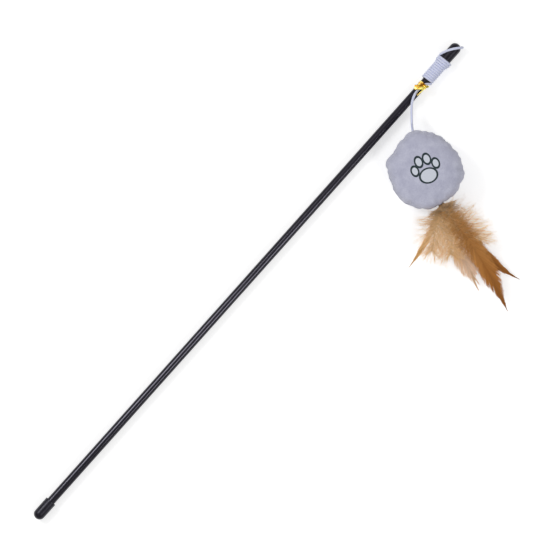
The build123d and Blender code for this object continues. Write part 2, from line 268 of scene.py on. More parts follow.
# Barbs of a vane, where a pair is the least and the most of a random value
barb_spacing = 0.22 * MM
barb_lean = 36
barb_lean_fall = 25
barb_reach = (0.98, 1.14)
barb_reach_rounds = 4
barb_bend = (1, 7)
barb_width_share = 2.0
barb_lift = 0.7 * MM
barb_segments = 7
barb_clearance = 0.3 * MM
clump_chance = 0.03
clump_lean = (-4, 4)
# Down: fine barbs with barbules, thickest and most loose at the root
down_spacing = 0.2 * MM
down_lean = 84
down_lean_fall = 44
down_lean_spread = 17
down_root_share = 0.08
down_root_lean = (0, 45)
down_reach = (0.55, 1.35)
down_bend = (-20, 40)
down_width = 0.15 * MM
down_lift = (-1.5 * MM, 6.0 * MM)
down_segments = 6
plume_reach_share = 1.5
vane_down_reach_share = 1.4
barbule_length = (0.8 * MM, 2.2 * MM)
barbule_spread = (0.2 * MM, 0.9 * MM)
barbule_lift = (-0.3 * MM, 0.3 * MM)
barbule_width = 0.07 * MM
loose_count = 130
loose_share = (0, 0.06)
loose_reach = (5.0 * MM, 10.0 * MM)
loose_spread = (10, 45)
# Tufts of down over the whipping
tuft_count = 150
tuft_heading = (-110, 110)
tuft_place = (-1.7 * MM, 1.2 * MM)
tuft_side = (-0.9, 0.9)
tuft_reach = (3.0 * MM, 7.0 * MM)
tuft_hump = (0.2 * MM, 1.2 * MM)
tuft_climbs = (-0.3, 0.2, 0.7, 1.2)
tuft_parts = (0, 0.3, 0.6, 1)
tuft_width = 0.17 * MM
tuft_along = 0.1
# How a strip narrows, how a barb rises and sinks, and how it keeps clear of the ball
strip_taper = 0.75
rise_share = 0.9
sink_share = 1.5
climb_loss = 0.3
ball_clearance = 0.65 * MM
ball_margin = 12 * MM
ball_deflections = (0, 20, 40, 60, 80)
ball_climbs = (0.0, 0.4, 0.8, 1.2)

# Whipping of dark thread that gathers the quills
whipping_turns = 10
whipping_steps = 16
whipping_length = 3.6 * MM
whipping_taper = 0.25
whipping_radius = 0.34 * MM
whipping_sides = 8

# Studio: a pale floor, and for each lamp the way to it, its distance, length, breadth and power
floor_height = cad_box[0].z
floor_gap = 0.05 * MM
floor_level = min(floor_height, -cap_radius - cord_diameter) - floor_gap
floor_reach = 20
floor_glow = 0.5
lamps = {
    "key": ((-0.1, 0.56, 0.83), 1.5, 1.3, 1.3, 2.6),
    "left_strip": ((-0.11, 0.64, 0.76), 1.6, 0.31, 0.5, 6.4),
    "right_strip": ((-0.017, -0.64, 0.77), 1.6, 0.29, 0.5, 5.2),
}
world_strength = 0.42
scene = bpy.context.scene


def new_object(name, vertices, faces):
    """A mesh object in the scene, from its points and faces in the row frame."""
    mesh = bpy.data.meshes.new(name)
    mesh.from_pydata([tuple(point) for point in vertices], [], faces)
    mesh.validate()
    mesh.polygons.foreach_set("use_smooth", [True] * len(mesh.polygons))
    piece = bpy.data.objects.new(name, mesh)
    scene.collection.objects.link(piece)
    return piece


def frames_along(points):
    """Tangents of a line of points, and a normal at each that turns with the line as little as it can."""
    tangents = []
    for index in range(len(points)):
        before = points[max(index - 1, 0)]
        after = points[min(index + 1, len(points) - 1)]
        tangents.append((after - before).normalized())
    normal = tangents[0].orthogonal().normalized()
    normals = []
    for tangent in tangents:
        normal = (normal - tangent * normal.dot(tangent)).normalized()
        normals.append(normal)
    return tangents, normals


def ring_faces(rings, size, closed=False, filled=True):
    """Faces between rings of points, with the two ends filled or open where the rings don't close on themselves."""
    faces = []
    for ring in range(rings if closed else rings - 1):
        first, second = ring * size, (ring + 1) % rings * size
        for corner in range(size):
            following = (corner + 1) % size
            faces.append((first + corner, first + following, second + following, second + corner))
    if filled and not closed:
        faces.append(tuple(reversed(range(size))))
        faces.append(tuple(range((rings - 1) * size, rings * size)))
    return faces


def tube(name, points, radius, sides):
    """A closed tube round a line of points, with its length and girth kept as a UV map."""
    tangents, normals = frames_along(points)
    vertices = []
    for point, tangent, normal in zip(points, tangents, normals):
        side = tangent.cross(normal)
        for corner in range(sides):
            angle = 2 * math.pi * corner / sides
            vertices.append(point + (normal * math.cos(angle) + side * math.sin(angle)) * radius)
    piece = new_object(name, vertices, ring_faces(len(points), sides))

    along = [0.0]
    for before, after in zip(points, points[1:]):
        along.append(along[-1] + (after - before).length)
    layer = piece.data.uv_layers.new(name="along_cord")
    for polygon in piece.data.polygons:
        corners = [piece.data.loops[loop].vertex_index for loop in polygon.loop_indices]
        places = {vertex % sides for vertex in corners}
        wraps = len(corners) == 4 and places == {0, sides - 1}
        for loop, vertex in zip(polygon.loop_indices, corners):
            share = vertex % sides / sides
            if wraps and vertex % sides == 0:
                share = 1.0
            layer.data[loop].uv = (share, along[vertex // sides] / (2 * math.pi * radius))
    return piece


def spline_points(name, control, resolution):
    """Points of the smooth NURBS line that the control points draw."""
    curve = bpy.data.curves.new(name, "CURVE")
    curve.dimensions = "3D"
    curve.resolution_u = resolution
    spline = curve.splines.new("NURBS")
    spline.points.add(len(control) - 1)
    for place, point in zip(spline.points, control):
        place.co = (*point, 1)
    spline.order_u = 3
    spline.use_endpoint_u = True
    holder = bpy.data.objects.new(name, curve)
    mesh = bpy.data.meshes.new_from_object(holder)
    points = [vertex.co.copy() for vertex in mesh.vertices]
    bpy.data.meshes.remove(mesh)
    bpy.data.objects.remove(holder)
    bpy.data.curves.remove(curve)
    return points


def level_way(heading):
    """Level direction, by its angle from +X."""
    return Vector((math.cos(math.radians(heading)), math.sin(math.radians(heading)), 0))


def on_round(x, angle, radius):
    """Point on a round surface about the rod: angle 0 is the +Y side and 90 the top."""
    return Vector((x, radius * math.cos(math.radians(angle)), radius * math.sin(math.radians(angle))))


def smooth_step(share):
    """0 to 1, starting and ending level."""
    share = min(max(share, 0.0), 1.0)
    return share * share * (3 - 2 * share)


def between(table, share):
    """Value at a share along a table of (share, value)."""
    for (start, first), (end, last) in zip(table, table[1:]):
        if share <= end:
            return first + (last - first) * smooth_step((share - start) / (end - start))
    return table[-1][1]


class Material:
    """A node material, with short calls for the nodes that the pieces share."""

    def __init__(self, name):
        self.data = bpy.data.materials.new(name)
        self.data.use_nodes = True
        self.nodes = self.data.node_tree.nodes
        self.links = self.data.node_tree.links
        self.shader = self.nodes["Principled BSDF"]

    def add(self, kind, inputs=(), **settings):
        """A node, with its inputs set to values or linked to other nodes' outputs."""
        node = self.nodes.new(kind)
        for key, value in settings.items():
            setattr(node, key, value)
        for socket, value in dict(inputs).items():
            self.feed(node.inputs[socket], value)
        return node

    def feed(self, socket, value):
        """Links an input to an output, or gives it a value."""
        if isinstance(value, bpy.types.NodeSocket):
            self.links.new(value, socket)
        else:
            socket.default_value = value

    def set(self, **inputs):
        """Inputs of the shader, by their names with underscores."""
        for name, value in inputs.items():
            self.feed(self.shader.inputs[name.replace("_", " ")], value)

    def math(self, operation, *values):
        """Result of a sum."""
        node = self.add("ShaderNodeMath", operation=operation)
        for socket, value in zip(node.inputs, values):
            self.feed(socket, value)
        return node.outputs[0]

    def place(self, scale=(1, 1, 1)):
        """Place in the row frame, stretched by a scale along each axis."""
        source = self.add("ShaderNodeTexCoord").outputs["Object"]
        return self.add("ShaderNodeMapping", {"Vector": source, "Scale": scale}).outputs["Vector"]

    def noise(self, place, scale, detail=2.0, roughness=0.5):
        """Noise from 0 to 1 at a place."""
        inputs = {"Vector": place, "Scale": scale, "Detail": detail, "Roughness": roughness}
        return self.add("ShaderNodeTexNoise", inputs).outputs["Fac"]

    def ramp(self, share, *stops):
        """Colour at a share along stops of (position, colour)."""
        node = self.add("ShaderNodeValToRGB", {"Fac": share})
        elements = node.color_ramp.elements
        while len(elements) < len(stops):
            elements.new(0.5)
        for element, (position, colour) in zip(elements, stops):
            element.position = position
            element.color = colour
        return node.outputs["Color"]

    def mix(self, share, first, second):
        """Colour between two colours."""
        node = self.add("ShaderNodeMix", data_type="RGBA")
        self.feed(node.inputs[0], share)
        self.feed(node.inputs[6], first)
        self.feed(node.inputs[7], second)
        return node.outputs[2]

    def spread(self, share, low, high):
        """A share from 0 to 1, spread over a range."""
        node = self.add("ShaderNodeMapRange", {"Value": share, "To Min": low, "To Max": high})
        return node.outputs["Result"]

    def bump(self, height, distance, strength):
        """Relief of the shader from a height."""
        node = self.add("ShaderNodeBump", {"Height": height, "Distance": distance, "Strength": strength})
        self.set(Normal=node.outputs["Normal"])


def linear(red, green, blue):
    """Linear colour, with full alpha, of an sRGB colour from 0 to 255."""
    shares = [value / 255 for value in (red, green, blue)]
    return (*(share / 12.92 if share <= 0.04045 else ((share + 0.055) / 1.055) ** 2.4 for share in shares), 1)


def rod_material():
    """Extruded black plastic: drawn streaks along the rod, fine scratches and a hard gloss."""
    plastic = Material("black_plastic")
    streaks = plastic.noise(plastic.place((6, 900, 900)), 1.0, 3.0)
    scuffs = plastic.noise(plastic.place((90, 400, 400)), 1.0, 5.0, 0.65)
    plastic.set(Base_Color=plastic.ramp(streaks, (0.3, (0.003, 0.002, 0.004, 1)), (0.75, (0.009, 0.007, 0.013, 1))))
    plastic.set(Roughness=plastic.spread(scuffs, 0.11, 0.22))
    plastic.set(Specular_IOR_Level=0.42, Specular_Tint=(0.86, 0.84, 1, 1))
    plastic.bump(streaks, 0.02 * MM, 0.5)
    return plastic.data


def cap_material():
    """Dipped vinyl: black, satin, with a faint orange peel and a little dust."""
    vinyl = Material("black_vinyl")
    peel = vinyl.noise(vinyl.place(), 900.0, 2.0)
    dust = vinyl.noise(vinyl.place(), 260.0, 6.0, 0.7)
    vinyl.set(Base_Color=vinyl.ramp(dust, (0.45, (0.003, 0.002, 0.005, 1)), (0.8, (0.016, 0.014, 0.024, 1))))
    vinyl.set(Roughness=vinyl.spread(dust, 0.2, 0.4), Specular_IOR_Level=0.4, Specular_Tint=(0.86, 0.86, 1, 1))
    vinyl.bump(peel, 0.03 * MM, 0.4)
    return vinyl.data


def cord_material():
    """Covered elastic: a fine braid in two directions over a pale lavender core, with painted shade in the grooves
    between its strands.
    """
    cover = Material("elastic_cover")
    uv = cover.add("ShaderNodeUVMap", uv_map="along_cord").outputs["UV"]
    strands = []
    for lean in (1.0, -1.0):
        split = cover.add("ShaderNodeSeparateXYZ", {"Vector": uv})
        turned = cover.math("MULTIPLY", split.outputs["X"], 8.0 * lean)
        phase = cover.math("ADD", turned, cover.math("MULTIPLY", split.outputs["Y"], 9.0))
        strands.append(cover.math("SINE", cover.math("MULTIPLY", phase, 2 * math.pi)))
    braid = cover.math("MULTIPLY_ADD", cover.math("MAXIMUM", *strands), 0.5, 0.5)
    wear_and_painted_reflection = cover.noise(cover.place(), 420.0, 3.0)
    pale = cover.mix(wear_and_painted_reflection, linear(216, 221, 248), linear(228, 232, 251))
    # Painted shade: the grooves between the braid's strands are drawn darker than its crests
    shade = linear(198, 204, 236)
    cover.set(Base_Color=cover.mix(cover.spread(braid, 0.6, 1.0), shade, pale))
    cover.set(Roughness=0.78, Sheen_Weight=0.25, Sheen_Roughness=0.5)
    cover.set(Subsurface_Weight=0.2, Subsurface_Radius=(1.0, 1.0, 1.0), Subsurface_Scale=0.6 * MM)
    cover.bump(braid, 0.05 * MM, 0.5)
    return cover.data


def foil_material():
    """Gold foil over paper: bright, finely creased, with painted reflection in patches from dark brown to bright
    yellow.
    """
    foil = Material("gold_foil")
    creases = foil.noise(foil.place(), 700.0, 4.0, 0.6)
    # Painted reflection: patches of the foil are drawn bright yellow or dark brown, standing in for the highlights and
    # dark reflections it mirrors
    wear_and_painted_reflection = foil.noise(foil.place(), 260.0, 3.0)
    gold_and_painted_reflection = ((0.35, linear(122, 66, 10)), (0.46, linear(230, 164, 38)), (0.56, linear(255, 242, 132)))
    foil.set(Base_Color=foil.ramp(wear_and_painted_reflection, *gold_and_painted_reflection))
    foil.set(Metallic=0.9, Roughness=foil.spread(creases, 0.14, 0.36))
    foil.bump(creases, 0.12 * MM, 0.8)
    return foil.data


def plush_material():
    """Brushed plush: grey lavender, mottled by its nap and by painted light and shade of wrinkles, with a printed paw
    in a dark outline.
    """
    plush = Material("grey_plush")
    place = plush.place()
    nap = plush.noise(place, 1300.0, 4.0, 0.75)
    # Painted light and shade: broad lighter and darker patches stand in for the light and shade of the cover's
    # wrinkles
    painted_wrinkle_shading = plush.noise(place, 150.0, 4.0, 0.65)
    nap_and_painted_shading = plush.math("MULTIPLY_ADD", nap, 0.45, plush.math("MULTIPLY", painted_wrinkle_shading, 0.55))
    greys = ((0.32, linear(170, 171, 194)), (0.5, linear(188, 189, 209)), (0.68, linear(208, 209, 226)))
    ground = plush.ramp(nap_and_painted_shading, *greys)
    outline, fill = paw_print(plush)
    printed = plush.mix(fill, ground, plush.mix(nap, linear(204, 209, 222), linear(222, 226, 236)))
    plush.set(Base_Color=plush.mix(outline, printed, linear(22, 44, 50)))
    plush.set(Roughness=0.95, Sheen_Weight=0.35, Sheen_Roughness=0.6)
    plush.bump(nap, 0.35 * MM, 0.55)
    return plush.data


def paw_print(plush):
    """Masks of the paw's outline and of its fill, on the ball's upper side only."""
    source = plush.add("ShaderNodeTexCoord").outputs["Object"]
    moved = plush.add("ShaderNodeVectorMath", {0: source, 1: ball_centre}, operation="SUBTRACT").outputs["Vector"]
    turn = (0, 0, math.radians(-paw_turn))
    turned = plush.add("ShaderNodeMapping", {"Vector": moved, "Rotation": turn}).outputs["Vector"]
    scaled = plush.add("ShaderNodeVectorMath", {0: turned, "Scale": 1 / paw_size}, operation="SCALE").outputs["Vector"]
    split = plush.add("ShaderNodeSeparateXYZ", {"Vector": scaled})
    upper = plush.math("GREATER_THAN", split.outputs["Z"], 0.0)
    nearest = paw_far
    for across, up, width, height in paw_shares:
        wide = plush.math("DIVIDE", plush.math("SUBTRACT", split.outputs["X"], across), width)
        tall = plush.math("DIVIDE", plush.math("SUBTRACT", split.outputs["Y"], up), height)
        reach = plush.math("SQRT", plush.math("ADD", plush.math("POWER", wide, 2.0), plush.math("POWER", tall, 2.0)))
        beyond = plush.math("MULTIPLY", plush.math("SUBTRACT", reach, 1.0), min(width, height))
        nearest = plush.math("MINIMUM", beyond, nearest)
    fill = plush.math("MULTIPLY", plush.math("LESS_THAN", nearest, 0.0), upper)
    on_line = plush.math("LESS_THAN", plush.math("ABSOLUTE", nearest), paw_line_share / 2)
    return plush.math("MULTIPLY", on_line, upper), fill


def thread_material(name, dark, light):
    """Twisted sewing thread."""
    thread = Material(name)
    twist = thread.noise(thread.place(), 2600.0, 2.0)
    thread.set(Base_Color=thread.mix(twist, dark, light), Roughness=0.7, Sheen_Weight=0.2)
    thread.bump(twist, 0.05 * MM, 0.5)
    return thread.data


def feather_material(name, *stops):
    """A feather's colour from its root to its tip, with each barb a little lighter or darker, and painted light
    through the thin tips of its barbs.
    """
    feather = Material(name)
    along = feather.add("ShaderNodeAttribute", attribute_name="along").outputs["Fac"]
    tone = feather.add("ShaderNodeAttribute", attribute_name="tone").outputs["Fac"]
    colour = feather.ramp(along, *stops)
    flecks = feather.noise(feather.place(), 380.0, 3.0)
    # Barbs darker by the shaft and lighter towards their tips; the lighter tips are painted light shining through the
    # thin barbs
    across = feather.add("ShaderNodeAttribute", attribute_name="across").outputs["Fac"]
    value = feather.math("ADD", feather.spread(tone, 0.9, 1.25), feather.spread(flecks, -0.1, 0.1))
    value = feather.math("ADD", value, feather.spread(across, -0.1, 0.12))
    toned = feather.add("ShaderNodeHueSaturation", {"Value": value, "Color": colour})
    feather.set(Base_Color=toned.outputs["Color"], Roughness=0.6, Specular_IOR_Level=0.2)
    return feather.data


def wear(piece, material, body, slot, *nodes):
    """Gives a piece its material and the body that it rides on, and hides the nodes that it stands for; its record
    slot is not used.
    """
    piece.data.materials.clear()
    piece.data.materials.append(material)
    if body:
        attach(piece, body)
    if nodes:
        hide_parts(*nodes)
    return piece


# Rod and caps are the CAD's own solids
black_plastic = rod_material()
black_vinyl = cap_material()
for node, material in (("rod", black_plastic), ("handle_cap", black_vinyl), ("tip_cap", black_vinyl)):
    solid = frame["nodes"][node]
    solid.data.materials.clear()
    solid.data.materials.append(material)

# Cord: its line runs out of the hole, over the dome, down the cap, round the rod, under the tie and to the ball
cord_radius = cord_diameter / 2
spline_swell = 1 / (0.75 + 0.25 * math.cos(2 * math.pi / points_per_turn))
lay_on_rod = (rod_radius + cord_radius) * spline_swell
lay_on_cap = (cap_radius + cord_radius) * spline_swell
winding_end = tip_lip + wound_past_lip
winding_start = winding_end - winding_turns * winding_pitch
first_angle = -180
last_angle = first_angle + 360 * winding_turns
climb_end = tip_lip - cord_radius
climb_start = climb_end - climb_turns * winding_pitch


def wound_point(angle):
    """Control point of the winding, which climbs on to the cap in its last turns."""
    x = winding_start + winding_pitch * (angle - first_angle) / 360
    share = smooth_step((x - climb_start) / (climb_end - climb_start))
    return on_round(x, angle, lay_on_rod + (lay_on_cap - lay_on_rod) * share)


helix_slope = math.degrees(math.atan(winding_pitch / (2 * math.pi * lay_on_rod)))
tail_bend = lay_on_rod * (math.pi / 2) / (1 - math.sin(math.radians(helix_slope)))
tail_start = winding_start - tail_bend * math.cos(math.radians(helix_slope))
quarter_on_cap = lay_on_cap * math.pi / 2
lead_slope = math.atan((tip_base - winding_end) / quarter_on_cap)
over_dome = Vector((math.sin(lead_slope), -math.cos(lead_slope), 0))


def on_dome(angle, radius):
    """Point about the dome's centre, by the angle from the top along the cord's great circle."""
    way = UP * math.cos(math.radians(angle)) + over_dome * math.sin(math.radians(angle))
    return Vector((tip_base, 0, 0)) + way * radius


route = [on_dome(hole_angle, cap_radius - hole_depth), on_dome(hole_angle, cap_radius)]
route += [on_dome(angle, lay_on_cap + lift) for angle, lift in hole_bend]
route += [on_dome(angle, lay_on_cap) for angle in dome_angles]
for share in lead_shares:
    eased = share * (2 - share) * share
    x = winding_end + (tip_base - winding_end) * (share + eased) / 2
    route.append(on_round(x, last_angle + 90 * share, lay_on_cap))
steps = round(winding_turns * points_per_turn)
for step in range(steps, -1, -1):
    route.append(wound_point(first_angle + 360 * winding_turns * step / steps))
for slope in tail_slopes:
    turn = math.degrees(tail_bend / lay_on_rod * (1 - math.sin(math.radians(slope))))
    route.append(on_round(tail_start + tail_bend * math.cos(math.radians(slope)), 90 + turn, lay_on_rod))
drop_start = Vector((pivot.x, 0, rod_radius + cord_radius))
rise = anchor.z - drop_start.z
for x, y, share in drop_route:
    route.append(drop_start + Vector((x * MM, y * MM, share * rise)))
route.append(anchor + ball_way * stub_length)

cord_line = spline_points("cord_line", route, cord_line_steps)
cut_place = anchor + (route[-3] - anchor).normalized() * stub_overlap
cut = min(range(len(cord_line)), key=lambda index: (cord_line[index] - cut_place).length)
elastic_cover = cord_material()
cord_path = cord_line[: cut + 1]
elastic_cord = tube("elastic_cord", cord_path, cord_radius, cord_sides)
stub_path = cord_line[cut - 1 :]
cord_stub = tube("cord_stub", stub_path, cord_radius, cord_sides)
wear(elastic_cord, elastic_cover, None, "cord", "cord_winding", "cord_drop")
wear(cord_stub, elastic_cover, None, "cord", "cord_end_knot")
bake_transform(elastic_cord)
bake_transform(cord_stub)


def knot(name, centre, size, material, body, *nodes):
    """An overhand knot: a trefoil of cord drawn tight."""
    points = []
    for step in range(knot_steps + 1):
        angle = 2 * math.pi * step / knot_steps
        across = math.sin(angle) + 2 * math.sin(2 * angle)
        up = math.cos(angle) - 2 * math.cos(2 * angle)
        points.append(centre + Vector((across, up, -math.sin(3 * angle))) * size)
    piece = tube(name, points, cord_radius * knot_share, knot_sides)
    return wear(piece, material, body, "cord", *nodes)


stop_knot = knot("stop_knot", on_dome(hole_angle, 0), knot_size, elastic_cover, "wand", "cord_stop_knot")


def ribbon(points, normals, widths, closed=False):
    """Points and faces of a foil strip with a wire along its middle."""
    outer = [(across, tie_foil + (tie_wire if across == 0 else 0)) for across in strip_shares]
    profile = outer + [(across, -tie_foil) for across, height in reversed(outer)]
    count = len(points)
    vertices = []
    for index, (point, normal, width) in enumerate(zip(points, normals, widths)):
        before = points[index - 1] if closed or index else point
        after = points[(index + 1) % count] if closed or index < count - 1 else point
        tangent = (after - before).normalized()
        level = (normal - tangent * normal.dot(tangent)).normalized()
        side = tangent.cross(level)
        for across, height in profile:
            place = point + side * (across * width / 2)
            crinkle = noise.noise(place / crinkle_size) * crinkle_depth * abs(across)
            vertices.append(place + level * (height + crinkle))
    return vertices, ring_faces(count, len(profile), closed)


def merged(*strips):
    """Points and faces of several strips as one."""
    vertices, faces = [], []
    for points, polygons in strips:
        faces += [tuple(corner + len(vertices) for corner in polygon) for polygon in polygons]
        vertices += points
    return vertices, faces


# Twist tie: a band drawn round the rod and the cord, its twist and its two bent ends
tie_middle = tie_start + tie_width / 2
lay = rod_radius + cord_radius
drawn_round = [(Vector((0, 0, 0)), rod_radius)]
drawn_round += [(on_round(0, angle, lay), cord_radius) for angle in held_cord_angles]
band_points, band_normals = [], []
for step in range(band_steps):
    way = on_round(0, 360 * step / band_steps, 1)
    centre, radius = max(drawn_round, key=lambda held: held[0].dot(way) + held[1])
    band_points.append(Vector((tie_middle, 0, 0)) + centre + way * (radius + tie_fit + tie_foil))
    band_normals.append(way)
band = ribbon(band_points, band_normals, [tie_width] * len(band_points), closed=True)

outward = on_round(0, twist_foot_angle, 1)
twist_way = outward * math.cos(math.radians(twist_lean)) + Vector((math.sin(math.radians(twist_lean)), 0, 0))
twist_foot = Vector((tie_middle, 0, 0)) + outward * (lay + cord_radius + tie_fit)
twist_side = twist_way.orthogonal().normalized()
twist_across = twist_way.cross(twist_side)


def tie_end(start, heading, length, rest, curl):
    """An end of the tie: it twists up from the band, then bends away to its heading."""
    points, normals, widths = [], [], []
    for step in range(end_steps + 1):
        share = step / end_steps
        angle = math.radians(start + 360 * twist_turns * share)
        spiral = twist_side * math.cos(angle) + twist_across * math.sin(angle)
        points.append(twist_foot + twist_way * (twist_length * share) + spiral * twist_radius)
        normals.append(spiral)
        widths.append(tie_width * (twist_foot_share + (twist_top_share - twist_foot_share) * share))
    top, last = points[-1], normals[-1]
    for step in range(1, end_steps + 1):
        share = step / end_steps
        bend = -curl * share * share
        points.append(top + level_way(heading) * (length * share) + UP * bend)
        normals.append(last.lerp(rest, smooth_step(share * end_settling)))
        widths.append(tie_width * (twist_top_share + (1 - twist_top_share) * smooth_step(share * end_widening)))
    return ribbon(points, normals, widths)


flat_lean = level_way(flat_end_heading - 90) * flat_end_tilt + level_way(flat_end_heading) * flat_end_rise
flat_rest = (UP + flat_lean).normalized()
edge_rest = (level_way(edge_end_heading + 90) + UP * edge_end_tilt).normalized()
flat_end = tie_end(0, flat_end_heading, flat_end_length, flat_rest, flat_end_curl)
edge_end = tie_end(180, edge_end_heading, edge_end_length, edge_rest, edge_end_curl)
twist_tie = new_object("foil_tie", *merged(band, flat_end, edge_end))
wear(twist_tie, foil_material(), "wand", "foil", "twist_tie")


def ball_point(angle, share, side):
    """Point of the ball's cover: share 0 is the seam and 1 the middle of the upper or lower side."""
    photo_angle = angle + photo_turn
    reach = 1.0
    for middle, spread, change in outline_shares:
        apart = (photo_angle - middle + 180) % 360 - 180
        reach += change * math.exp(-((apart / spread) ** 2))
    way = level_way(angle)
    lift = math.radians(90 * share)
    out = ball_radius * reach * max(math.cos(lift), 0) ** ball_side_power
    up = (ball_half - cloth_swell) * math.sin(lift) ** ball_crown_power
    place = way * pleat_scale + UP * pleat_levels[side]
    pleats = noise.noise(place) + fine_pleat_share * noise.noise(place * fine_pleat_scale)
    facing = 0.5 + 0.5 * math.cos(math.radians(photo_angle - pleat_angle))
    drawn = pleat_least_share + (1 - pleat_least_share) * smooth_step(facing)
    pucker = pleat_depth * drawn * pleats * math.exp(-share / pleat_reach_share)
    groove = ball_radius * seam_depth_share * math.exp(-((share / seam_reach_share) ** 2))
    uneven = noise.noise((way * out / ball_radius * swell_spread + UP * side) * swell_scale)
    swell = uneven * swell_depth * smooth_step(share * swell_rate)
    out += pucker - groove
    up += pucker * pleat_rise_share * smooth_step(share * pleat_rise_rate) + swell
    return ball_centre + way * out + UP * (side * up)


ball_vertices = []
for row in range(-ball_steps_up + 1, ball_steps_up):
    side = 1 if row >= 0 else -1
    for column in range(ball_steps_round):
        ball_vertices.append(ball_point(360 * column / ball_steps_round, abs(row) / ball_steps_up, side))
ball_faces = ring_faces(2 * ball_steps_up - 1, ball_steps_round, filled=False)
poles = len(ball_vertices)
ball_vertices += [ball_point(0, 1, -1), ball_point(0, 1, 1)]
top_row = poles - ball_steps_round
for column in range(ball_steps_round):
    following = (column + 1) % ball_steps_round
    ball_faces.append((poles, following, column))
    ball_faces.append((poles + 1, top_row + column, top_row + following))
ball = new_object("plush_ball", ball_vertices, ball_faces)


def settled(cover):
    """The cover as cloth that its filling blows up against the pinned seam, simulated at a larger scale."""
    model = cover.copy()
    model.data = cover.data.copy()
    scene.collection.objects.link(model)
    model.data.transform(Matrix.Scale(cloth_scale, 4) @ Matrix.Translation(-ball_centre))
    model.data.remesh_voxel_size = cloth_grid * cloth_scale
    with bpy.context.temp_override(active_object=model, object=model):
        bpy.ops.object.voxel_remesh()
    before = [vertex.co.copy() for vertex in model.data.vertices]
    pinned = [index for index, place in enumerate(before) if abs(place.z) < cloth_seam * cloth_scale]
    model.vertex_groups.new(name="seam").add(pinned, 1.0, "REPLACE")
    cloth = model.modifiers.new("cover", "CLOTH")
    cloth.settings.vertex_group_mass = "seam"
    cloth.settings.mass = cloth_mass
    cloth.settings.use_pressure = True
    cloth.settings.uniform_pressure_force = cloth_pressure
    cloth.settings.shrink_min = cloth_shrink
    cloth.settings.bending_stiffness = cloth_bending
    cloth.settings.effector_weights.gravity = 0.0
    cloth.point_cache.frame_end = cloth_frames
    for number in range(1, cloth_frames + 1):
        scene.frame_set(number)
    blown = model.evaluated_get(bpy.context.evaluated_depsgraph_get()).to_mesh()
    moves = [vertex.co - place for vertex, place in zip(blown.vertices, before)]
    model.modifiers.remove(cloth)
    limit = cloth_travel * cloth_scale
    for vertex, place, move in zip(model.data.vertices, before, moves):
        vertex.co = place + move * (limit / max(move.length, limit))
    finer = model.modifiers.new("finer", "SUBSURF")
    finer.levels = cloth_levels
    mesh = bpy.data.meshes.new_from_object(model.evaluated_get(bpy.context.evaluated_depsgraph_get()))
    mesh.transform(Matrix.Translation(ball_centre) @ Matrix.Scale(1 / cloth_scale, 4))
    for vertex in mesh.vertices:
        away = vertex.co - ball_centre
        away.z = 0
        apart = abs(vertex.co.z - ball_centre.z) / seam_groove_width
        vertex.co -= away.normalized() * (seam_groove_depth * math.exp(-apart * apart))
        vertex.co.z = max(vertex.co.z, floor_level)
    mesh.polygons.foreach_set("use_smooth", [True] * len(mesh.polygons))
    cover.data = mesh
    bpy.data.objects.remove(model)
    scene.frame_set(1)


settled(ball)
wear(ball, plush_material(), "lure", "ball_fabric", "ball_front_panel", "ball_back_panel", "ball_stuffing")

# Slanted stitches that close the seam, laid on the cover
stitches = []
for index in range(stitch_count):
    stitch = []
    middle = ball_centre + level_way(360 * index / stitch_count) * ball_radius
    if (middle - feather_root).length < stitch_gap:
        continue
    for share in stitch_shares:
        way = level_way(360 * index / stitch_count + stitch_slant * share)
        near = ball_centre + way * ball_radius + UP * (stitch_height * share)
        place, normal = ball.closest_point_on_mesh(near)[1:3]
        stitch.append(place + normal * (stitch_radius * (stitch_rise - stitch_dip * share * share)))
    stitches.append(tube("stitch", stitch, stitch_radius, stitch_sides))
with bpy.context.temp_override(active_object=stitches[0], selected_editable_objects=stitches):
    bpy.ops.object.join()
seam_stitches = stitches[0]
seam_stitches.name = "seam_stitches"
grey_thread = thread_material("seam_thread", linear(120, 122, 142), linear(168, 170, 188))
wear(seam_stitches, grey_thread, "lure", "thread", "seam_thread")

# Room that the feathers keep from the ball, and the ways that a barb tries in turn to find it
root_way = (feather_root - ball_centre).normalized()
root_side = root_way.cross(UP)
ball_tries = [(deflection, climb) for deflection in ball_deflections for climb in ball_climbs]


def clear_of_ball(point):
    """Whether a point of a feather stays outside the ball over the whole sway."""
    if (point - ball_centre).length > ball_radius + ball_margin:
        return True
    for angle in (-sway, 0, sway):
        swung = feather_root + Matrix.Rotation(math.radians(angle), 3, "Z") @ (point - feather_root)
        place, normal = ball.closest_point_on_mesh(swung)[1:3]
        if (swung - place).dot(normal) < ball_clearance:
            return False
    return True


class Strips:
    """Thin tapering strips in one mesh. Each point keeps its place on the feather and its barb's tone."""

    def __init__(self):
        self.vertices, self.faces = [], []
        self.along, self.across, self.tone = [], [], []

    def add(self, points, width, along, tone, across=(0.0, 1.0), face=UP):
        """A strip along points, flat against the face direction and narrowing to its tip."""
        base = len(self.vertices)
        last = len(points) - 1
        for index, point in enumerate(points):
            tangent = points[min(index + 1, last)] - points[max(index - 1, 0)]
            side = tangent.cross(face).normalized() * (width / 2 * (1 - strip_taper * index / last))
            self.vertices += [point - side, point + side]
            self.along += [along] * 2
            self.across += [across[0] + (across[1] - across[0]) * index / last] * 2
            self.tone += [tone] * 2
        for index in range(last):
            low = base + 2 * index
            self.faces.append((low, low + 1, low + 3, low + 2))

    def piece(self, name):
        """The strips as one object, with the places and tones as attributes."""
        made = new_object(name, self.vertices, self.faces)
        for key in ("along", "across", "tone"):
            made.data.attributes.new(key, "FLOAT", "POINT").data.foreach_set("value", getattr(self, key))
        return made


